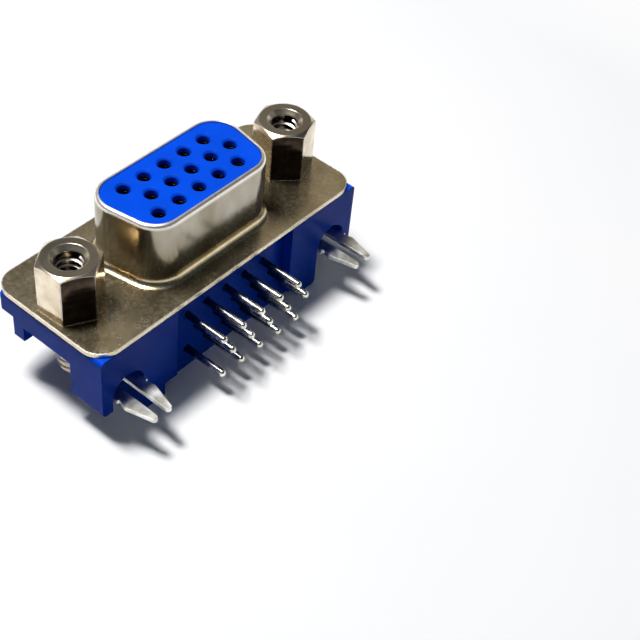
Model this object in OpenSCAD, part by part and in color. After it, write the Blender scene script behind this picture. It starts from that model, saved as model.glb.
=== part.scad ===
// Right-angle board connector: a three-row D-shaped female socket with jackscrews and board locks.
// X runs along the flange, +Z is the way the mating plug leaves, and -Y is the side that sits on the board.
// The origin is the middle of the flange's front face. All sizes are in millimetres.

/* [Shell] */
// Length of the flange
flange_w = 30.8; // [30:0.1:32]
// Height of the flange, from the board side to the far side
flange_h = 12.5; // [12.3:0.1:14]
// Corner radius of the flange
flange_corner_r = 2; // [1:0.1:3]
// Thickness of the drawn sheet
sheet_t = 0.4; // [0.3:0.05:0.5]
// Thickness of the D-shaped wall, which thins a little as it is drawn
wall_t = 0.38; // [0.28:0.01:0.38]
// Outside width of the D-shaped wall, across its wide side
shroud_w = 16.33; // [16:0.01:16.8]
// Outside height of the D-shaped wall
shroud_h = 7.9; // [7.7:0.1:8.2]
// How far the D-shaped wall stands out from the flange
shroud_rise = 6.2; // [5.4:0.1:7]
// Outside corner radius of the D
shroud_corner_r = 2.6; // [2:0.1:2.8]
// Lean of the two short sides of the D
side_angle = 10; // [8:1:12]
// Radius of the drawn bend between the wall and the flange, on its outside
base_bend_r = 0.7; // [0.4:0.05:0.8]

/* [Contacts] */
// Distance between neighbouring contacts in a row
pin_pitch = 2.29; // [2.2:0.01:2.35]
// Distance between rows, at the mating face and on the board
row_pitch = 1.98; // [1.9:0.01:2.1]
// Contacts in each row
pins_per_row = 5; // [3:1:5]
// Sideways shift of the whole field of contacts
field_shift = 0.31; // [0:0.01:0.4]
// Outside diameter of a socket barrel
barrel_d = 1.4; // [1.36:0.02:1.44]
// Bore of a socket barrel
barrel_bore_d = 0.8; // [0.7:0.05:0.9]
// Diameter of the collar that stops a contact in the insulator
collar_d = 1.6; // [1.56:0.02:1.64]
// Thickness of that collar
collar_t = 0.4; // [0.3:0.05:0.6]
// Diameter of the bent wire behind the collar, inside the housing
wire_d = 1; // [0.96:0.02:1.1]
// Diameter of the tails below the spacer
tail_d = 0.64; // [0.6:0.02:0.64]
// Centreline radius of the right-angle bend in each tail
tail_bend_r = 0.8; // [0.6:0.05:0.9]
// How far the tails reach below the board side
tail_reach = 3.4; // [2.6:0.1:3.6]
// Depth of the first row of tails behind the flange face
first_tail_depth = 3.03; // [3:0.01:3.3]

/* [Insulator] */
// How far the mating face lies below the rim of the wall
face_recess = 0.15; // [0.05:0.05:0.5]
// Diameter of the entry holes in the mating face
entry_d = 1.15; // [1.12:0.01:1.18]
// Depth of the narrow entry in front of each barrel
entry_depth = 0.6; // [0.4:0.1:1]
// Width of the chamfer round each entry hole
entry_chamfer = 0.16; // [0.1:0.02:0.2]
// Wall of the housing left beside each end of the insulator's flange plate
plate_wall = 0.575; // [0.5:0.025:0.8]
// Gap between the flange plate of the insulator and the tail spacer
plate_gap = 0.35; // [0.25:0.05:0.45]
// Thickness of the flange plate of the insulator
plate_t = 1.6; // [1.4:0.1:1.8]

/* [Housing] */
// How far each end of the housing lies inside the end of the flange
housing_inset = 0.1; // [0:0.05:0.3]
// Height of the far edge of the housing above the middle of the flange
far_edge = 5.35; // [5.1:0.05:5.8]
// Depth of the ledge along the far edge, behind the flange face
ledge_depth = 2.7; // [2.5:0.1:3]
// Height of the block behind the ledge
block_top = 4.2; // [4:0.1:4.6]
// Depth of the two ends, behind the flange face
end_depth = 6.6; // [6:0.05:7]
// Depth of the middle block, behind the flange face
block_depth = 9.2; // [8.5:0.1:10]
// Rounding of the moulded corners
corner_r = 0.4; // [0.2:0.05:0.6]
// Wall left behind the cavity that holds the bent tails
rear_wall = 0.8; // [0.6:0.1:1]
// Length of the recessed field of tails
field_w = 14; // [13.8:0.1:14.4]
// Depth of that field below the board side
field_recess = 1; // [0.6:0.1:1.2]
// Thickness of the tail spacer that closes the field
spacer_t = 0.9; // [0.7:0.1:1]
// Length of the ears at the back of the spacer
ear_w = 1.4; // [1:0.1:1.8]
// Depth of those ears
ear_d = 1.3; // [1:0.1:1.6]

/* [Jackscrews] */
// Distance from each end of the flange to the axis of its jackscrew
jack_inset = 2.905; // [2.805:0.005:3.005]
// Width across the flats of the hexagon
hex_af = 4.75; // [4.5:0.05:5]
// Height of the hexagon above the flange
hex_h = 4.9; // [4.4:0.1:6]
// Diameter of the threaded shank
shank_d = 2.84; // [2.7:0.02:2.9]
// How far the shank reaches behind the flange face
shank_reach = 7; // [6.5:0.1:8]
// Diameter of the tapped hole in the hexagon
tap_d = 2.3; // [2.2:0.05:2.4]
// Depth of the tapped hole
tap_depth = 4; // [3.4:0.1:4]
// Diameter of the countersink at the mouth of the tapped hole
sink_d = 3.1; // [3:0.1:3.6]
// Turn of the left hexagon about its axis
left_turn = 33; // [0:1:59]
// Turn of the right hexagon about its axis
right_turn = 19; // [0:1:59]

/* [Board locks] */
// Thickness of the board lock sheet
lock_t = 0.4; // [0.3:0.05:0.45]
// Depth of the forks behind the flange face
lock_depth = 5.3; // [4.9:0.02:5.4]
// Width of the channel that takes a board lock
channel_w = 3.44; // [3.3:0.02:3.5]
// Depth of the face that the lock plate bears on, behind the flange face
seat_depth = 2.9; // [2.8:0.05:3]
// Height of the end slot on the far side of the jackscrew
slot_far = 2.8; // [2.6:0.1:3]
// Height of the end slot on the board side of the jackscrew
slot_near = 2.6; // [2.5:0.05:2.8]
// Thickness of the leg between the end slot and the far edge
leg_t = 1.2; // [1:0.1:1.3]
// Depth of that leg behind the flange face
leg_depth = 4.4; // [4.2:0.1:5]
// Outside diameter of the tapped collar on the lock plate
lock_collar_d = 3.6; // [3.4:0.05:3.7]
// Height of the tapped collar
lock_collar_h = 1; // [0.8:0.1:1.2]
// Inside radius of the bends in the sheet
lock_bend_r = 0.25; // [0.15:0.05:0.3]
// Gap between the two prongs of a fork
prong_gap = 0.95; // [0.8:0.05:1.1]
// Width across the neck of a fork
neck_w = 2.9; // [2.7:0.05:3]
// Width across the barbs of a fork
barb_w = 3.34; // [3.2:0.02:3.4]
// How far the forks reach below the board side
lock_reach = 3.9; // [3.2:0.05:4]

/* [Hidden] */
$fn = 48;

// Clearances
slip = 0.05;          // between pieces that slide together
shank_slip = 0.15;    // round a shank that only passes through
thread_slip = 0.02;   // between a shank and the tapped sheet on it
past = 1;             // how far a cutting tool runs past a face
lap = 0.2;            // how far the flange plate reaches into the base bend
tuck = 0.004;         // how far the sides of a D outline lie inside its corner circles

steel = [0.66, 0.62, 0.53];
blue = [0.0, 0.25, 0.85];
tin = [0.82, 0.80, 0.72];

board_y = -flange_h / 2;
housing_w = flange_w - 2 * housing_inset;
jack_spacing = flange_w - 2 * jack_inset;
jack_x = jack_spacing / 2;
face_z = shroud_rise - face_recess;
field_y = board_y + field_recess;
spacer_top = field_y + spacer_t;
plate_rear = -sheet_t - plate_t;
block_w = jack_spacing - channel_w;
plate_w = block_w - 2 * plate_wall;
plate_h = -2 * (spacer_top + plate_gap);
tail_tip_y = board_y - tail_reach;

// Centres of the D's corner arcs, anticlockwise from the narrow right corner
function half_width(y) = shroud_w / 2 - (shroud_h / 2 - y) * tan(side_angle);
function arc_x(y) = half_width(y) - shroud_corner_r / cos(side_angle);
arc_y = shroud_h / 2 - shroud_corner_r;
narrow_x = arc_x(-arc_y);
wide_x = arc_x(arc_y);
// Each corner is [centre, angle where its arc starts, angle that it turns through]
CORNERS = [
    [[narrow_x, -arc_y], -90, 90 - side_angle],
    [[wide_x, arc_y], -side_angle, 90 + side_angle],
    [[-wide_x, arc_y], 90, 90 + side_angle],
    [[-narrow_x, -arc_y], 180 + side_angle, 90 - side_angle]];

function polar(r, a) = r * [cos(a), sin(a)];

// Row 0 lies on the far side and row 2 on the board side
function contact_x(row, i) =
    field_shift + (row == 1 ? 1 : -1) * pin_pitch / 4 + (i - (pins_per_row - 1) / 2) * pin_pitch;
function contact_y(row) = (1 - row) * row_pitch;
function tail_z(row) = -first_tail_depth - (2 - row) * row_pitch;

// ---- Shapes that repeat ----

// A section swept round the D: its x is the distance outside the wall, its y becomes Z
module d_sweep() {
    for (i = [0 : 3]) {
        c = CORNERS[i];
        next = CORNERS[(i + 1) % 4];
        turn = c[1] + c[2];
        translate(c[0])
            rotate([0, 0, c[1]])
                rotate_extrude(angle = c[2])
                    translate([shroud_corner_r, 0])
                        children();
        translate(next[0])
            rotate([0, 0, turn])
                rotate([90, 0, 0])
                    linear_extrude(norm(next[0] - c[0]))
                        translate([shroud_corner_r, 0])
                            children();
    }
}

// The D outline of the wall, moved outwards by grow. The straight sides lie a hair inside the corner
// circles, so that they cross them and don't only touch them.
module d_outline(grow) {
    r = shroud_corner_r + grow;
    polygon([for (c = CORNERS) for (a = [c[1], c[1] + c[2]]) c[0] + polar(r - tuck, a)]);
    for (c = CORNERS)
        translate(c[0])
            circle(r = r);
}

// A rectangle with round corners, centred
module round_rect(w, h, r) {
    square([w - 2 * r, h], center = true);
    square([w, h - 2 * r], center = true);
    for (x = [-1, 1], y = [-1, 1])
        translate([x * (w / 2 - r), y * (h / 2 - r)])
            circle(r = r);
}

// A bar along Y with its corners rounded in the XZ plane
module bar(w, depth, y0, y1) {
    translate([0, y1, -(depth + sheet_t) / 2])
        rotate([90, 0, 0])
            linear_extrude(y1 - y0)
                round_rect(w, depth - sheet_t, corner_r);
}

// A box given by its two far corners
module box(low, high) {
    translate(low)
        cube(high - low);
}

// A quarter of a ring round the origin, in the quadrant that starts at angle turn
module quarter_ring(r_in, r_out, turn) {
    rotate(turn)
        difference() {
            intersection() {
                circle(r = r_out);
                square(r_out);
            }
            circle(r = r_in);
        }
}

module at_jacks() {
    for (side = [-1, 1])
        translate([side * jack_x, 0, 0])
            children();
}

module at_contacts() {
    for (row = [0 : 2], i = [0 : pins_per_row - 1])
        translate([contact_x(row, i), contact_y(row), 0])
            children();
}

// ---- Shell ----

// Section of the drawn wall: base bend, straight wall and rounded rim
module wall_section() {
    bend_z = base_bend_r - (sheet_t - wall_t) / 2;
    translate([base_bend_r, bend_z])
        quarter_ring(base_bend_r, base_bend_r + wall_t, 180);
    translate([-wall_t, bend_z])
        square([wall_t, shroud_rise - wall_t - bend_z]);
    translate([-wall_t, shroud_rise - wall_t])
        intersection() {
            circle(r = wall_t);
            square(wall_t);
        }
}

module front_shell() {
    color(steel) {
        difference() {
            translate([0, 0, -sheet_t])
                linear_extrude(sheet_t)
                    round_rect(flange_w, flange_h, flange_corner_r);
            translate([0, 0, -past])
                linear_extrude(2 * past)
                    d_outline(base_bend_r - lap);
            at_jacks()
                translate([0, 0, -past])
                    cylinder(d = shank_d + 2 * shank_slip, h = 2 * past);
        }
        d_sweep() wall_section();
    }
}

// ---- Insulator ----

// Everything that is cut out for one contact
module contact_cavity() {
    mouth_d = entry_d + 2 * entry_chamfer;
    translate([0, 0, plate_rear - past])
        cylinder(d = entry_d, h = face_z - plate_rear + 2 * past);
    translate([0, 0, face_z - entry_chamfer])
        cylinder(d1 = entry_d, d2 = mouth_d, h = entry_chamfer);
    translate([0, 0, plate_rear - past])
        cylinder(d = barrel_d + 2 * slip, h = face_z - entry_depth - plate_rear + past);
    translate([0, 0, plate_rear - past])
        cylinder(d = collar_d + 2 * slip, h = collar_t + slip + past);
}

module front_insulator() {
    color(blue)
        difference() {
            union() {
                translate([0, 0, plate_rear])
                    linear_extrude(plate_t)
                        round_rect(plate_w, plate_h, corner_r);
                translate([0, 0, plate_rear + plate_t / 2])
                    linear_extrude(face_z - plate_rear - plate_t / 2)
                        d_outline(-wall_t - slip);
            }
            at_contacts() contact_cavity();
        }
}

// ---- Housing ----

// The end slot for the shank and the lock plate, open to the end and to the rear
module end_slot() {
    box([block_w / 2, -slot_near, -block_depth], [housing_w / 2 + past, slot_far, -seat_depth]);
}

// The channel for the fork: a round-ended slot through the board side, open to the rear
module fork_channel() {
    r = channel_w / 2;
    translate([jack_x, board_y - past, -lock_depth])
        rotate([-90, 0, 0])
            cylinder(r = r, h = past - board_y - slot_near + slip);
    box([jack_x - r, board_y - past, -block_depth], [jack_x + r, -slot_near + slip, -lock_depth]);
}

// Space behind the leg, which is shorter than the board side of the end
module leg_relief() {
    box([block_w / 2, slot_far - slip, -block_depth], [housing_w / 2 + past, far_edge, -leg_depth]);
    box([block_w / 2, slot_far + leg_t, -block_depth], [housing_w / 2 + past, far_edge, -ledge_depth]);
}

// The inside of the housing: seat of the insulator plate, cavity of the tails, and the window below
module inside() {
    translate([0, 0, plate_rear])
        linear_extrude(plate_t + past)
            round_rect(plate_w + 2 * slip, plate_h + 2 * slip, corner_r + slip);
    box([-field_w / 2, board_y - past, -block_depth + rear_wall],
        [field_w / 2, contact_y(0) + collar_d / 2 + slip, plate_rear + slip]);
    box([-field_w / 2, board_y - past, -block_depth - past], [field_w / 2, spacer_top, past]);
    box([-field_w / 2 - ear_w, board_y - past, -block_depth - past],
        [field_w / 2 + ear_w, spacer_top, -block_depth + ear_d]);
}

module housing() {
    color(blue)
        difference() {
            union() {
                bar(housing_w, ledge_depth, board_y, far_edge);
                bar(housing_w, end_depth, board_y, slot_far + leg_t);
                bar(block_w, block_depth, board_y, block_top);
            }
            for (side = [0, 1])
                mirror([side, 0, 0]) {
                    end_slot();
                    fork_channel();
                    leg_relief();
                }
            at_jacks()
                translate([0, 0, -seat_depth - slip])
                    cylinder(d = shank_d + 2 * shank_slip, h = seat_depth + past);
            inside();
        }
}

// A hole in the spacer, wide at its inner mouth so that a tail finds its way in
module tail_funnel() {
    mouth = tail_d + 2 * slip;
    widen = (wire_d - tail_d) * slip / spacer_t;
    translate([0, 0, -slip])
        cylinder(d1 = mouth - widen, d2 = mouth + wire_d - tail_d + widen, h = spacer_t + 2 * slip);
}

module tail_spacer() {
    back = -block_depth;
    color(blue)
        difference() {
            union() {
                box([-field_w / 2 + slip, field_y, back], [field_w / 2 - slip, spacer_top, -sheet_t]);
                box([-field_w / 2 - ear_w + slip, field_y, back],
                    [field_w / 2 + ear_w - slip, spacer_top, back + ear_d - slip]);
            }
            for (row = [0 : 2], i = [0 : pins_per_row - 1])
                translate([contact_x(row, i), field_y, tail_z(row)])
                    rotate([-90, 0, 0])
                        tail_funnel();
        }
}

// ---- Contacts ----

// One contact: bored barrel, stop collar, and a round tail bent down through the spacer
module contact(row, i) {
    barrel_top = face_z - entry_depth - slip;
    collar_top = plate_rear + collar_t;
    bore_depth = 0.6 * (barrel_top - collar_top);
    bend_z = tail_z(row) + tail_bend_r;
    foot_y = tail_tip_y + tail_d / 2;
    color(tin)
        translate([contact_x(row, i), contact_y(row), 0]) {
            difference() {
                union() {
                    translate([0, 0, plate_rear])
                        cylinder(d = barrel_d, h = barrel_top - plate_rear);
                    translate([0, 0, plate_rear])
                        cylinder(d = collar_d, h = collar_t);
                }
                translate([0, 0, barrel_top - bore_depth])
                    cylinder(d = barrel_bore_d, h = bore_depth + past);
            }
            translate([0, 0, bend_z])
                cylinder(d = wire_d, h = plate_rear - bend_z + slip);
            translate([0, -tail_bend_r, bend_z])
                rotate([0, 90, 0])
                    rotate_extrude(angle = 90)
                        translate([tail_bend_r, 0])
                            circle(d = wire_d);
            translate([0, spacer_top - contact_y(row), tail_z(row)])
                rotate([-90, 0, 0])
                    cylinder(d = wire_d, h = contact_y(row) - tail_bend_r - spacer_top);
            translate([0, field_y - contact_y(row), tail_z(row)])
                rotate([-90, 0, 0])
                    cylinder(d1 = tail_d, d2 = wire_d, h = spacer_t);
            translate([0, foot_y - contact_y(row), tail_z(row)]) {
                rotate([-90, 0, 0])
                    cylinder(d = tail_d, h = field_y - foot_y);
                sphere(d = tail_d);
            }
        }
}

// ---- Jackscrews ----

module jackscrew(side, turn) {
    hex_r = hex_af / sqrt(3);
    crown_r = 0.95 * hex_af / 2;
    blank_r = 1.1 * hex_r;
    blank_h = hex_h - (blank_r - crown_r) * tan(30);
    sink_h = (sink_d - tap_d) / 2;
    tip = shank_d / 8;
    color(steel)
        translate([side * jack_x, 0, 0])
            difference() {
                union() {
                    intersection() {
                        rotate([0, 0, turn])
                            cylinder(r = hex_r, h = hex_h, $fn = 6);
                        rotate_extrude()
                            polygon([[0, 0], [blank_r, 0], [blank_r, blank_h], [crown_r, hex_h], [0, hex_h]]);
                    }
                    translate([0, 0, tip - shank_reach])
                        cylinder(d = shank_d, h = shank_reach - tip + slip);
                    translate([0, 0, -shank_reach])
                        cylinder(d1 = shank_d - 2 * tip, d2 = shank_d, h = tip);
                }
                translate([0, 0, hex_h - tap_depth])
                    cylinder(d = tap_d, h = tap_depth + past);
                translate([0, 0, hex_h - tap_depth - tap_d / 4])
                    cylinder(d1 = 0, d2 = tap_d, h = tap_d / 4);
                translate([0, 0, hex_h - sink_h])
                    cylinder(d1 = tap_d, d2 = sink_d, h = sink_h);
            }
}

// ---- Board locks ----

// Side view of the bent strip: plate, step to the rear, and fork plane
module lock_side() {
    fork_end = lock_reach - board_y;
    plate_z = -seat_depth - lock_t;
    fork_z = -lock_depth - lock_t / 2;
    bend_out = lock_bend_r + lock_t;
    step_y = -slot_near + slip;
    far_y = slot_far - slip;
    // plate
    translate([step_y + bend_out, plate_z])
        square([far_y - step_y - bend_out, lock_t]);
    translate([step_y + bend_out, plate_z - lock_bend_r])
        quarter_ring(lock_bend_r, bend_out, 90);
    // step
    translate([step_y, fork_z + bend_out])
        square([lock_t, plate_z - lock_bend_r - fork_z - bend_out]);
    translate([step_y - lock_bend_r, fork_z + bend_out])
        quarter_ring(lock_bend_r, bend_out, 270);
    // fork
    translate([-fork_end, fork_z])
        square([fork_end + step_y - lock_bend_r, lock_t]);
}

// Front view of the strip: a plate above and a barbed fork below
module lock_front() {
    plate_half = channel_w / 2 - slip;
    neck_half = neck_w / 2;
    barb = barb_w / 2;
    tip_r = (barb_w - prong_gap) / 8;
    tip_x = prong_gap / 2 + tip_r;
    tip_y = board_y - lock_reach + tip_r;
    neck_y = board_y - lock_t;
    barb_y = board_y - lock_reach / 3;
    root_y = -slot_near - lock_t - prong_gap;
    difference() {
        union() {
            translate([-plate_half, neck_y])
                square([2 * plate_half, slot_far - neck_y]);
            for (side = [0, 1])
                mirror([side, 0]) {
                    polygon([[0, root_y], [neck_half, root_y], [neck_half, neck_y], [barb, barb_y],
                        [tip_x + tip_r, tip_y], [prong_gap / 2, tip_y], [prong_gap / 2, barb_y]]);
                    translate([tip_x, tip_y])
                        circle(r = tip_r);
                }
        }
        translate([-prong_gap / 2, board_y - lock_reach - past])
            square([prong_gap, root_y - board_y + lock_reach + past]);
        translate([0, root_y])
            circle(d = prong_gap);
    }
}

module board_lock(side) {
    color(tin)
        translate([side * jack_x, 0, 0])
            difference() {
                union() {
                    intersection() {
                        translate([-barb_w, 0, 0])
                            rotate([90, 0, 90])
                                linear_extrude(2 * barb_w)
                                    lock_side();
                        translate([0, 0, -block_depth])
                            linear_extrude(block_depth)
                                lock_front();
                    }
                    translate([0, 0, -seat_depth - lock_t - lock_collar_h])
                        cylinder(d = lock_collar_d, h = lock_collar_h + lock_t / 2);
                }
                translate([0, 0, -block_depth])
                    cylinder(d = shank_d + 2 * thread_slip, h = block_depth);
            }
}

front_shell();
front_insulator();
housing();
tail_spacer();
contact(0, 0);  // contact_01
contact(0, 1);  // contact_02
contact(0, 2);  // contact_03
contact(0, 3);  // contact_04
contact(0, 4);  // contact_05
contact(1, 0);  // contact_06
contact(1, 1);  // contact_07
contact(1, 2);  // contact_08
contact(1, 3);  // contact_09
contact(1, 4);  // contact_10
contact(2, 0);  // contact_11
contact(2, 1);  // contact_12
contact(2, 2);  // contact_13
contact(2, 3);  // contact_14
contact(2, 4);  // contact_15
jackscrew(-1, left_turn);  // jackscrew_left
jackscrew(1, right_turn);  // jackscrew_right
board_lock(-1);  // board_lock_left
board_lock(1);  // board_lock_right
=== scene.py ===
# %% [markdown]
# # A right-angle D-shaped board socket
#
# This socket is soldered to the edge of a circuit board, and a plug with 15 pins pushes into its face. The
# solids come from the CAD model. This lesson dresses them: it gives every piece a material built from nodes,
# adds the screw threads that the solids leave out, and lights the part on a pale floor. Lengths are in
# metres, so a value such as `4 * MM` reads as four millimetres.

# %% Imports and the CAD frame
import math
import bpy
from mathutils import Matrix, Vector


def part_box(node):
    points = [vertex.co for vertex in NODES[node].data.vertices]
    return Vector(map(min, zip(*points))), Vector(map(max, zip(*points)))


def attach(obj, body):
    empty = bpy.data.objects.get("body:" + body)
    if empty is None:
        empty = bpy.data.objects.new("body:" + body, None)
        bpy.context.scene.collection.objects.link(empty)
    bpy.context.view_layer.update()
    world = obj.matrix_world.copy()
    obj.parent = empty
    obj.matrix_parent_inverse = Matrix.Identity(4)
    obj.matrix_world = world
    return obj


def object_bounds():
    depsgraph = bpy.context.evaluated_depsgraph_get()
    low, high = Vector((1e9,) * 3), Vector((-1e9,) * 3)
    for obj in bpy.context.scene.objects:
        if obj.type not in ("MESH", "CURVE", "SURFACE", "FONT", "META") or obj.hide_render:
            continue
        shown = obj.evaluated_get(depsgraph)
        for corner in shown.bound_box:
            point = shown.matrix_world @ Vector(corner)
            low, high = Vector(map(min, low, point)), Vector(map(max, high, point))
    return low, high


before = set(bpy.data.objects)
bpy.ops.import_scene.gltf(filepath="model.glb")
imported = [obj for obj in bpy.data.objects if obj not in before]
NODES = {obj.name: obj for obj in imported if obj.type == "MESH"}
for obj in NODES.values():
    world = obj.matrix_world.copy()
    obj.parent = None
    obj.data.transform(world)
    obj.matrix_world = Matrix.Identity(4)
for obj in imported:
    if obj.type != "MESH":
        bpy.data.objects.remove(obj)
CAD_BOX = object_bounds()
MM = 0.001
span = [round((high - low) / MM, 2) for low, high in zip(*CAD_BOX)]
print(len(NODES), "solids in a box of", span, "mm")

# %% [markdown]
# ## The view
#
# The camera looks down on the connector from its board side, a little to the left. A Track To constraint
# could aim it, but a plain place and turn are fewer parts and don't change when a piece does. The place is
# in the connector's own frame: +Z is the way the plug leaves, and the board lies towards -Y.

# %% Camera
CAMERA_PLACE = (-62.9 * MM, -60.3 * MM, 77.5 * MM)
CAMERA_TURN = (44.76, -4.64, -49.66)
LENS = 77.5
SENSOR_WIDTH = 36
NEAREST_SEEN = 1 * MM

camera_data = bpy.data.cameras.new("camera")
camera_data.lens = LENS
camera_data.sensor_width = SENSOR_WIDTH
camera_data.clip_start = NEAREST_SEEN
camera = bpy.data.objects.new("camera", camera_data)
camera.location = CAMERA_PLACE
camera.rotation_euler = tuple(math.radians(a) for a in CAMERA_TURN)
bpy.context.scene.collection.objects.link(camera)
bpy.context.scene.camera = camera
print("camera", round(camera.location.length / MM, 1), "mm from the middle of the flange")

# %% [markdown]
# ## Small helpers for shaders
#
# A material is a tree of nodes, and wiring each node by hand takes many lines. `Sock` wraps one output
# socket and gives it the signs of arithmetic, so that `1.0 - mask * 0.5` adds its Math nodes by itself.
# Colours never go through these, because a Math node turns a colour grey.
#
# A noise texture seldom comes near 0 or 1. `spread` takes the range where nearly all of it lies and
# stretches that over the values that are wanted, so that none of them stays unused.

# %% Shader arithmetic
NOISE_LOW, NOISE_HIGH = 0.3, 0.7


class Sock:
    """One value in a node tree. Adding, multiplying and so on make the Math nodes."""

    def __init__(self, mat, socket):
        self.mat = mat
        self.socket = socket

    def math(self, operation, *others, clamp=False):
        values = dict(enumerate((self,) + others))
        return self.mat.node("Math", inputs=values, operation=operation, use_clamp=clamp)

    def __add__(self, other):
        return self.math("ADD", other)

    def __sub__(self, other):
        return self.math("SUBTRACT", other)

    def __mul__(self, other):
        return self.math("MULTIPLY", other)

    def __truediv__(self, other):
        return self.math("DIVIDE", other)

    __radd__ = __add__
    __rmul__ = __mul__

    def __rsub__(self, other):
        return self * -1.0 + other

    def clamp(self):
        """The same value, kept between 0 and 1."""
        return self.math("ADD", 0.0, clamp=True)

    def ramp(self, low, high, to_low=0.0, to_high=1.0):
        """Maps low..high onto to_low..to_high and stays inside."""
        ends = {"From Min": low, "From Max": high, "To Min": to_low, "To Max": to_high}
        return self.mat.node("MapRange", output="Result", inputs={"Value": self, **ends})

    def spread(self, to_low=0.0, to_high=1.0):
        """Stretches a noise over to_low..to_high."""
        return self.ramp(NOISE_LOW, NOISE_HIGH, to_low, to_high)


print("besides its signs, a Sock has", [name for name in vars(Sock) if name[0] != "_"])

# %% [markdown]
# `Mat` is one material around the Principled shader. Its `node` method makes any node from its kind, its
# settings, and the values or links of its inputs. Every pattern reads the Object coordinates, which are real
# lengths here, so a noise has the same grain on a large piece as on a small one.
#
# Two of its methods read the Bevel node, which gives the normal that a rounded edge would have. `bump` uses
# it to soften the sharp edges of the solids without a single new face. `edges` compares it with the true
# normal: where the two differ, an edge is near, and that is where plating wears bright; the materials that
# use it also paint a highlight there.

# %% Material helper
BEVEL_SAMPLES = 6
WEAR_AND_HIGHLIGHT_FROM, WEAR_AND_HIGHLIGHT_FULL = 0.01, 0.1
TONES_FROM, TONES_FULL = 0.35, 0.65


class Mat:
    """A material with one Principled shader, and a short way to add nodes to it."""

    def __init__(self, name, **constants):
        self.material = bpy.data.materials.new(name)
        self.material.use_nodes = True
        self.tree = self.material.node_tree
        self.shader = self.tree.nodes["Principled BSDF"]
        for key, value in constants.items():
            self.shader.inputs[key.replace("_", " ")].default_value = value

    def plug(self, target, value):
        """Links a socket to target, or sets target to a plain value."""
        if isinstance(value, Sock):
            self.tree.links.new(value.socket, target)
        else:
            target.default_value = value

    def node(self, kind, output=0, inputs=None, **settings):
        """Makes a node of that kind: first its settings, then its inputs."""
        node = self.tree.nodes.new("ShaderNode" + kind)
        for key, value in settings.items():
            setattr(node, key, value)
        for key, value in (inputs or {}).items():
            self.plug(node.inputs[key], value)
        return Sock(self, node.outputs[output])

    def to(self, name, value):
        """Feeds one input of the shader."""
        self.plug(self.shader.inputs[name], value)

    def along(self, axis):
        """How far the point lies along X, Y or Z, in metres."""
        here = self.node("TexCoord", output="Object")
        return self.node("SeparateXYZ", output=axis, inputs={"Vector": here})

    def noise(self, scale, detail=2.0, stretch=(1, 1, 1)):
        """Clouds of about 1 / scale metres, drawn out along an axis where stretch is small."""
        here = self.node("TexCoord", output="Object")
        place = self.node("Mapping", inputs={"Vector": here, "Scale": stretch})
        return self.node("TexNoise", inputs={"Vector": place, "Scale": scale, "Detail": detail})

    def mix(self, amount, first, second):
        """A colour between first and second."""
        return self.node("Mix", output=2, data_type="RGBA", inputs={0: amount, 6: first, 7: second})

    def mottle(self, pattern, tones):
        """Two tones that take turns as the pattern rises and falls."""
        return self.mix(pattern.ramp(TONES_FROM, TONES_FULL), *tones)

    def rounded_normal(self, radius):
        return self.node("Bevel", samples=BEVEL_SAMPLES, inputs={"Radius": radius})

    def bump(self, height, strength, distance, edge):
        """Raises the surface by height, and rounds every sharp edge by edge metres."""
        shape = {"Height": height, "Strength": strength, "Distance": distance}
        self.to("Normal", self.node("Bump", inputs={**shape, "Normal": self.rounded_normal(edge)}))

    def edges(self, radius):
        """Near 1 along outer and inner edges, and 0 from radius metres away from them."""
        true = self.node("NewGeometry", output="Normal")
        both = {0: self.rounded_normal(radius), 1: true}
        same = self.node("VectorMath", output="Value", operation="DOT_PRODUCT", inputs=both)
        return (1.0 - same).ramp(WEAR_AND_HIGHLIGHT_FROM, WEAR_AND_HIGHLIGHT_FULL)


print("a Mat has", [name for name in vars(Mat) if name[0] != "_"])

# %% [markdown]
# ## The drawn shell
#
# The shell is pressed from one sheet of steel and plated a warm grey. On the flat flange the plating is
# finely mottled, and the wall, which the die has pulled, shows long soft streaks; the wall's darker tone is
# painted shade, the darker reflection that an upright face gets here. A band just under the rim is a painted
# highlight, and the bend and the cut edges are lighter, partly from wear and partly as a painted highlight.
# A painted mask could place all this, but a height and the `edges` mask follow the solid by themselves, also
# when a size changes.

# %% Shell metal
FLANGE_TONES = ((0.58, 0.47, 0.28, 1), (0.80, 0.68, 0.46, 1))
SHADED_WALL_TONES = ((0.24, 0.205, 0.135, 1), (0.43, 0.395, 0.33, 1))
RIM_HIGHLIGHT_AND_WEAR_TONE = (0.97, 0.93, 0.85, 1)
WALL_FROM, WALL_FULL = 0.3 * MM, 0.9 * MM
RIM_BAND, RIM_BRIGHT = 0.5 * MM, 0.15 * MM
FLANGE_ROUGH, WALL_ROUGH, RIM_HIGHLIGHT_AND_WEAR_ROUGHER = 0.22, 0.14, 0.2


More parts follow.
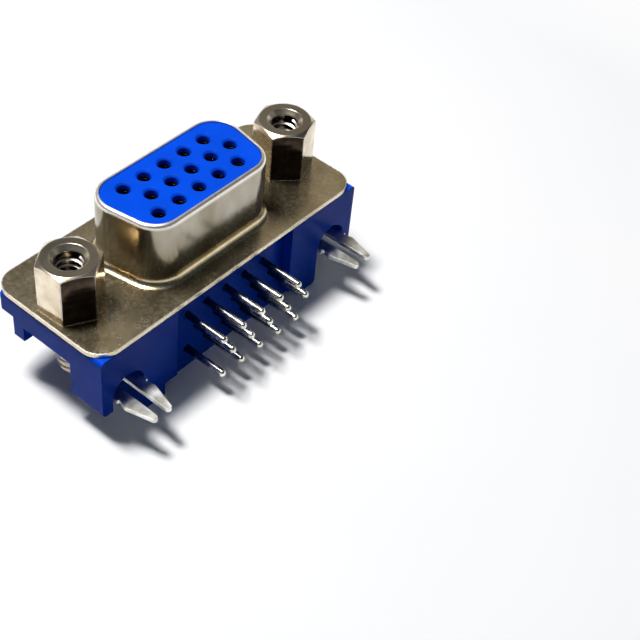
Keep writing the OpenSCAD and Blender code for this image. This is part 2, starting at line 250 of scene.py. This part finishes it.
def shell_metal():
    m = Mat("plated shell", Metallic=1.0)
    height = m.along("Z")
    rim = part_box("front_shell")[1][2]
    blotch = m.noise(scale=420.0, detail=3.0)
    grain = m.noise(scale=2600.0)
    drawn = m.noise(scale=900.0, stretch=(1, 1, 0.06))
    streak = m.noise(scale=260.0, detail=3.0, stretch=(1, 1, 0.5))
    upright = height.ramp(WALL_FROM, WALL_FULL)
    # Painted highlight: a bright band just under the rim, plus the edges mask, whose light edges are partly
    # wear and partly painted highlight.
    rim_highlight_and_wear = (height.ramp(rim - RIM_BAND, rim - RIM_BRIGHT) + m.edges(radius=0.2 * MM)).clamp()
    flange = m.mottle(blotch * 0.6 + grain * 0.4, FLANGE_TONES)
    # Painted shade: the wall's tones are darker than the flange's, to paint a darker reflection on the
    # upright faces.
    wall = m.mottle(streak, SHADED_WALL_TONES)
    m.to("Base Color", m.mix(rim_highlight_and_wear, m.mix(upright, flange, wall), RIM_HIGHLIGHT_AND_WEAR_TONE))
    haze = (blotch * 0.5 + grain * 0.5).spread(0.0, 0.08)
    polish = upright.ramp(0, 1, FLANGE_ROUGH, WALL_ROUGH)
    m.to("Roughness", haze + polish + rim_highlight_and_wear * RIM_HIGHLIGHT_AND_WEAR_ROUGHER)
    m.bump(grain * 0.7 + drawn * 0.5, strength=0.2, distance=0.02 * MM, edge=0.14 * MM)
    return m.material


SHELL = shell_metal()
print(SHELL.name, "has", len(SHELL.node_tree.nodes), "nodes")

# %% [markdown]
# ## The jackscrews
#
# The jackscrews hold the plug's own screws. They are cut from hexagonal bar, so the face is turned and shows
# fine rings, the sides keep the bright skin of the bar, and cutting leaves faint marks along each flat. One
# pair of flats is painted almost black as a painted dark reflection, and the inside of the tapped bore is
# painted dark as shade.
#
# A flat is found with a little geometry. The distance from the axis, measured square to a flat, is half the
# width across flats all over that flat and its opposite, and less on the other four. The table of turns
# below gives, for each jackscrew, the direction of the pair that carries the painted dark reflection.

# %% Jackscrew metal
HEX_AF = 4.75 * MM
BORE_R = 1.15 * MM
PAINTED_DARK_FLATS = {"jackscrew_left": 63, "jackscrew_right": 49}
PLATED_TONES = ((0.58, 0.48, 0.34, 1), (0.88, 0.76, 0.59, 1))
PAINTED_DARK_TONES = ((0.030, 0.020, 0.013, 1), (0.09, 0.065, 0.045, 1))
PAINTED_DARK_FROM, PAINTED_DARK_FULL = 0.4, 0.7
FACE_TONE = (0.38, 0.33, 0.25, 1)
SHANK_TONE = (0.16, 0.13, 0.10, 1)
WORN_AND_HIGHLIT_CORNER = (0.95, 0.91, 0.84, 1)
FLAT_FROM, FLAT_FULL = HEX_AF / 2 - 0.08 * MM, HEX_AF / 2 - 0.02 * MM
BORE_FULL, BORE_END = BORE_R + 0.01 * MM, BORE_R + 0.07 * MM
FACE_BAND, FACE_FULL = 0.03 * MM, 0.01 * MM
CROWN_BAND, CROWN_FULL, CROWN_ROUGHER = 0.6 * MM, 0.5 * MM, 0.16
RING_WIDTH = 0.12 * MM


def screw_span(name):
    """Where a jackscrew's axis stands in X, and the heights of its tail end and its face."""
    (left, front, tail_end), (right, back, face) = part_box(name)
    return (left + right) / 2, tail_end, face


def jack_metal(name):
    axis_x, tail_end, face = screw_span(name)
    m = Mat("plated " + name, Metallic=1.0)
    x = m.along("X") - axis_x
    y = m.along("Y")
    z = m.along("Z")
    radius = (x * x + y * y).math("SQRT")
    turn = math.radians(PAINTED_DARK_FLATS[name])
    square_out = (x * math.cos(turn) + y * math.sin(turn)).math("ABSOLUTE")
    # Painted dark reflection: one pair of flats gets the dark tones.
    on_flat = square_out.ramp(FLAT_FROM, FLAT_FULL) * z.ramp(0.0, 0.05 * MM)
    # Painted shade: the inside of the tapped bore gets the dark tones.
    shaded_bore = radius.ramp(BORE_FULL, BORE_END, 1.0, 0.0) * z.ramp(0.2 * MM, 0.4 * MM)
    on_face = z.ramp(face - FACE_BAND, face - FACE_FULL)
    on_crown = z.ramp(face - CROWN_BAND, face - CROWN_FULL)
    on_shank = z.ramp(-0.1 * MM, 0.0, 0.7, 0.0)
    blotch = m.noise(scale=600.0)
    turned = m.noise(scale=500.0, detail=3.0, stretch=(0.3, 0.3, 5.0))
    painted_dark_tone = m.mix(blotch.ramp(PAINTED_DARK_FROM, PAINTED_DARK_FULL), *PAINTED_DARK_TONES)
    skin = m.mix((on_flat + shaded_bore).clamp(), m.mottle(blotch, PLATED_TONES), painted_dark_tone)
    skin = m.mix(on_face, skin, FACE_TONE)
    skin = m.mix(on_shank, skin, SHANK_TONE)
    # Edges mix to a light tone: partly wear, partly a painted highlight.
    m.to("Base Color", m.mix(m.edges(radius=0.14 * MM), skin, WORN_AND_HIGHLIT_CORNER))
    m.to("Roughness", turned.spread(0.08, 0.2) + on_crown * CROWN_ROUGHER)
    rings = (radius / RING_WIDTH).math("SINE") * on_face
    m.bump(turned * 0.6 + rings * 0.4, strength=0.35, distance=0.03 * MM, edge=0.09 * MM)
    return m.material


# The flats listed here are painted almost black, a painted dark reflection.
print("tarnished flats face", PAINTED_DARK_FLATS, "degrees")

# %% [markdown]
# ## Tinned forks
#
# The board locks are sheet forks that snap into the board and are soldered there, so they are dipped in tin.
# Tin is the palest metal here and also the dullest: a rougher surface that blurs what it mirrors.

# %% Tinned metal
TIN_TONES = ((0.62, 0.62, 0.54, 1), (1.0, 1.0, 0.94, 1))


def tin_metal():
    m = Mat("tinned sheet", Metallic=1.0)
    blotch = m.noise(scale=900.0, detail=3.0)
    m.to("Base Color", m.mottle(blotch, TIN_TONES))
    m.to("Roughness", blotch.spread(0.36, 0.48))
    m.bump(blotch, strength=0.3, distance=0.03 * MM, edge=0.05 * MM)
    return m.material


TIN = tin_metal()
print(TIN.name, "has", len(TIN.node_tree.nodes), "nodes")

# %% [markdown]
# ## The contacts
#
# A contact is one piece from its socket, deep in the insulator, to its soldered tail. The tail is tinned and
# bright. It fades to a dull grey where it leaves the housing, which is painted shade at the root of the
# tail, and the part inside the insulator is painted nearly black as the shade in the holes. One material
# with two fades along Y and Z does all fifteen.

# %% Contact metal
TAIL_TONES = ((0.62, 0.61, 0.52, 1), (0.98, 0.97, 0.88, 1))
PAINTED_ROOT_SHADE = (0.12, 0.12, 0.12, 1)
SOCKET_PAINTED_SHADE = (0.05, 0.04, 0.05, 1)
FADE_DEPTH = 1.6 * MM
BOARD_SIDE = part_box("housing")[0][1]


def contact_metal():
    m = Mat("contact", Metallic=1.0)
    blotch = m.noise(scale=1400.0, detail=3.0)
    at_housing = m.along("Y").ramp(BOARD_SIDE - FADE_DEPTH, BOARD_SIDE)
    in_socket = m.along("Z").ramp(0.0, 1.0 * MM)
    # Painted shade: the tail darkens to grey towards the housing.
    tail = m.mix(at_housing, m.mottle(blotch, TAIL_TONES), PAINTED_ROOT_SHADE)
    # Painted shade: the socket part inside the insulator is painted nearly black.
    m.to("Base Color", m.mix(in_socket, tail, SOCKET_PAINTED_SHADE))
    m.to("Roughness", blotch.spread(0.16, 0.3))
    m.bump(blotch, strength=0.3, distance=0.03 * MM, edge=0.04 * MM)
    return m.material


CONTACT = contact_metal()
print(CONTACT.name, "fades up to", round(BOARD_SIDE / MM, 2), "mm in Y")

# %% [markdown]
# ## Blue plastic
#
# Housing, insulator and tail spacer are moulded from the same blue plastic. It is even in colour, and a
# faint waviness shows only in its highlights. Plastic mirrors far less than metal, so the specular level is
# low and the colour stays deep.

# %% Plastic
BLUE_TONES = ((0.0, 0.064, 0.66, 1), (0.0, 0.078, 0.80, 1))


def blue_plastic():
    m = Mat("blue plastic", IOR=1.45, Specular_IOR_Level=0.08)
    cloud = m.noise(scale=300.0)
    fine = m.noise(scale=3000.0)
    m.to("Base Color", m.mix(cloud.spread(), *BLUE_TONES))
    m.to("Roughness", fine.spread(0.30, 0.40))
    m.bump(fine * 0.4 + cloud, strength=0.12, distance=0.03 * MM, edge=0.08 * MM)
    return m.material


BLUE = blue_plastic()
print(BLUE.name, "has", len(BLUE.node_tree.nodes), "nodes")

# %% [markdown]
# ## Dressing the solids
#
# The start of a solid's name says what it is, so one short table of finishes is enough. Only the material
# of a solid changes here: its mesh and its place stay as the CAD model gives them.

# %% Materials on the solids
FINISHES = {"front_shell": SHELL, "contact": CONTACT, "board_lock": TIN}


def finish_of(name):
    """The material for one solid."""
    if name in PAINTED_DARK_FLATS:
        return jack_metal(name)
    for start, material in FINISHES.items():
        if name.startswith(start):
            return material
    return BLUE


for name, node in NODES.items():
    node.data.materials.clear()
    node.data.materials.append(finish_of(name))
worn = {node.data.materials[0].name for node in NODES.values()}
print(len(NODES), "solids wear", sorted(worn))

# %% [markdown]
# ## Threads of the jackscrews
#
# Each jackscrew is tapped with a 4-40 thread and carries the same thread on its shank, while the solids hold
# only the plain bore and the plain shank. A bump could fake the thread, but it vanishes in outline, and the
# inside of the bore is seen at a slant. So the ridge is modelled: a small triangle is carried round the axis
# while it climbs, which is what the Screw modifier does.
#
# The crests rub on the plug's screws and on the forks, so they are the bright plating and nothing else.

# %% Thread metal
THREAD_TONES = ((0.80, 0.74, 0.64, 1), (0.96, 0.93, 0.86, 1))


def thread_metal():
    m = Mat("thread metal", Metallic=1.0)
    tone = m.noise(scale=1500.0)
    m.to("Base Color", m.mottle(tone, THREAD_TONES))
    m.to("Roughness", tone.spread(0.3, 0.45))
    return m.material


THREAD = thread_metal()
print(THREAD.name, "has", len(THREAD.node_tree.nodes), "nodes")

# %% [markdown]
# A circle with three corners is the triangle. It is turned upright and set beside the axis, with its point
# inwards for a bore or outwards for a shank. With no window the rotate operator turns the other way round,
# so `POINT_IN` and `POINT_OUT` are named after what they give.

# %% Ridge profile
RIDGE_R = 0.13 * MM
UPRIGHT = math.pi / 2
POINT_IN, POINT_OUT = -math.pi / 2, math.pi / 2
CENTRE = (0, 0, 0)


def ridge_profile(name, radius, point):
    """A small upright triangle, at radius from the Z axis, that points in or out."""
    bpy.ops.object.select_all(action="DESELECT")
    bpy.ops.mesh.primitive_circle_add(vertices=3, radius=RIDGE_R, fill_type="NOTHING", location=CENTRE)
    ridge = bpy.context.object
    ridge.name = name
    bpy.ops.object.mode_set(mode="EDIT")
    bpy.ops.mesh.select_all(action="SELECT")
    bpy.ops.transform.rotate(value=UPRIGHT, orient_axis="X", center_override=CENTRE)
    bpy.ops.transform.rotate(value=point, orient_axis="Y", center_override=CENTRE)
    bpy.ops.transform.translate(value=(radius, 0, 0))
    bpy.ops.object.mode_set(mode="OBJECT")
    return ridge


print("ridge", round(1.5 * RIDGE_R / MM, 3), "mm high")

# %% [markdown]
# The swept triangle is open at both ends and may come out inside out. `fill_holes` closes the two ends, and
# the normals are recalculated after that, while the ridge is a closed shell.

# %% Ridge sweep
PITCH = 0.635 * MM
STEPS = 40
SMOOTH_BELOW = math.radians(40)


def sweep(ridge, turns):
    """Carries a profile round the Z axis while it climbs one pitch for each turn."""
    screw = ridge.modifiers.new("climb", "SCREW")
    screw.axis = "Z"
    screw.angle = 2 * math.pi
    screw.screw_offset = PITCH
    screw.iterations = turns
    screw.steps = STEPS
    screw.render_steps = STEPS
    screw.use_smooth_shade = True
    bpy.ops.object.modifier_apply(modifier=screw.name)
    bpy.ops.object.mode_set(mode="EDIT")
    bpy.ops.mesh.select_all(action="SELECT")
    bpy.ops.mesh.fill_holes(sides=4)
    bpy.ops.mesh.select_all(action="SELECT")
    bpy.ops.mesh.normals_make_consistent(inside=False)
    bpy.ops.object.mode_set(mode="OBJECT")
    bpy.ops.object.shade_smooth_by_angle(angle=SMOOTH_BELOW)


print("one turn climbs", round(PITCH / MM, 3), "mm in", STEPS, "steps")

# %% [markdown]
# Each ridge has its foot a little inside the metal, so that no gap shows there. In the bore it ends below
# the countersink, and on the shank it runs from just above the pointed end to just below the flange. The
# sweep only works round the Z axis, so the finished ridge is moved onto its jackscrew last, in edit mode,
# which keeps its object at the origin.

# %% Threads in place
TAP_DEPTH = 4.0 * MM
COUNTERSINK = 0.45 * MM
SHANK_R = 1.42 * MM
IN_BORE = BORE_R - 0.02 * MM
ON_SHANK = SHANK_R - 0.04 * MM
SHANK_POINT = 0.5 * MM
SHANK_END = -0.7 * MM


def thread_ridge(name, axis_x, radius, point, start, end):
    """A ridge at radius from a jackscrew's axis, from height start to about height end."""
    turns = int((end - start) / PITCH)
    ridge = ridge_profile(name, radius, point)
    sweep(ridge, turns)
    bpy.ops.object.mode_set(mode="EDIT")
    bpy.ops.mesh.select_all(action="SELECT")
    bpy.ops.transform.translate(value=(axis_x, 0, start))
    bpy.ops.object.mode_set(mode="OBJECT")
    ridge.data.materials.append(THREAD)
    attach(ridge, "root")
    reach = [math.hypot(v.co.x - axis_x, v.co.y) / MM for v in ridge.data.vertices]
    print(name, turns, "turns, radius", round(min(reach), 3), "to", round(max(reach), 3), "mm")


for name in sorted(PAINTED_DARK_FLATS):
    axis_x, tail_end, face = screw_span(name)
    bottom = face - TAP_DEPTH + RIDGE_R
    top = face - COUNTERSINK - RIDGE_R
    thread_ridge(name + "_thread", axis_x, IN_BORE, POINT_IN, bottom, top)
    thread_ridge(name + "_shank_thread", axis_x, ON_SHANK, POINT_OUT, tail_end + SHANK_POINT, SHANK_END)

# %% [markdown]
# ## Floor and backdrop
#
# The connector stands on the rear of its middle block, on a sheet of white paper. A white floor would throw
# its light back up and wash out the deep blue, so the paper is dark to light that bounces and pale to what
# is seen: Light Path tells the two apart. Farther out it also glows, because no lamp reaches there. A
# low ring of the same paper closes the view behind the floor, and the floor keeps the shadow.

# %% Paper floor and backdrop
FLOOR_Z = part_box("housing")[0][2]
FLOOR_SIZE = 3.0
BACKDROP_R, BACKDROP_HEIGHT, BACKDROP_SIDES = 1.2, 0.3, 96
PAPER_TONES = ((0.93, 0.96, 0.99, 1), (0.95, 0.97, 1.0, 1))
PAPER_UNSEEN = (0.12, 0.12, 0.12, 1)
DARK, WHITE = (0, 0, 0, 1), (1, 1, 1, 1)
GLOW_FROM, GLOW_FULL = 0.06, 0.25


def paper():
    m = Mat("paper floor", Roughness=0.9, Specular_IOR_Level=0.0, Emission_Strength=1.0)
    rays = [m.node("LightPath", output=f"Is {kind} Ray") for kind in ("Camera", "Glossy", "Transmission")]
    seen = sum(rays).clamp()
    sheet = m.mix(m.noise(scale=40.0).spread(), *PAPER_TONES)
    m.to("Base Color", m.mix(seen, PAPER_UNSEEN, sheet))
    x = m.along("X")
    y = m.along("Y")
    far_out = (x * x + y * y).math("SQRT").ramp(GLOW_FROM, GLOW_FULL)
    m.to("Emission Color", m.mix(far_out * seen, DARK, WHITE))
    return m.material


PAPER = paper()


def lay(name):
    """Names the primitive that was just added, and keeps it as floor or backdrop."""
    sheet = bpy.context.object
    sheet.name = name
    sheet.data.materials.append(PAPER)


bpy.ops.mesh.primitive_plane_add(size=FLOOR_SIZE, location=(0, 0, FLOOR_Z))
lay("floor")
bpy.ops.mesh.primitive_cylinder_add(
    vertices=BACKDROP_SIDES, radius=BACKDROP_R, depth=BACKDROP_HEIGHT, end_fill_type="NOTHING",
    location=(0, 0, FLOOR_Z + BACKDROP_HEIGHT / 2))
lay("backdrop")
print("floor at", round(FLOOR_Z / MM, 2), "mm, backdrop", BACKDROP_R, "m away")

# %% [markdown]
# ## Lamps and world
#
# One small soft lamp above and behind the connector does most of the work and throws the shadow towards the
# board side. Two weak, wide cards stand to the right: the warm one gives the flange its gold, and the other
# draws a thin light line along its edges. The world is a dim blue room, which fills the shadow and gives the
# metal something dark to mirror.

# %% Lamps and world
ROOM_BLUE = (0.62, 0.78, 1.0, 1)
ROOM_STRENGTH = 0.066

world = bpy.data.worlds.new("studio")
world.use_nodes = True
room = world.node_tree.nodes["Background"]
room.inputs["Color"].default_value = ROOM_BLUE
room.inputs["Strength"].default_value = ROOM_STRENGTH
bpy.context.scene.world = world


def lamp(name, place, size, watts, colour):
    """A square lamp of size metres that faces the connector."""
    data = bpy.data.lights.new(name, "AREA")
    data.size = size
    data.energy = watts
    data.color = colour
    fitting = bpy.data.objects.new(name, data)
    fitting.location = place
    fitting.rotation_euler = (-Vector(place)).to_track_quat("-Z", "Y").to_euler()
    bpy.context.scene.collection.objects.link(fitting)
    print(name, watts, "W, facing the connector from", round(Vector(place).length, 3), "m")


lamp("key", (-0.04, 0.08, 0.30), 0.065, 1.14, (1.0, 0.97, 0.94))
lamp("warm card", (0.30, 0.16, 0.21), 0.26, 0.055, (1.0, 0.86, 0.66))
lamp("edge card", (0.20, -0.25, 0.11), 0.16, 0.036, (1.0, 0.96, 0.90))
bpy.context.scene.view_settings.view_transform = "Standard"
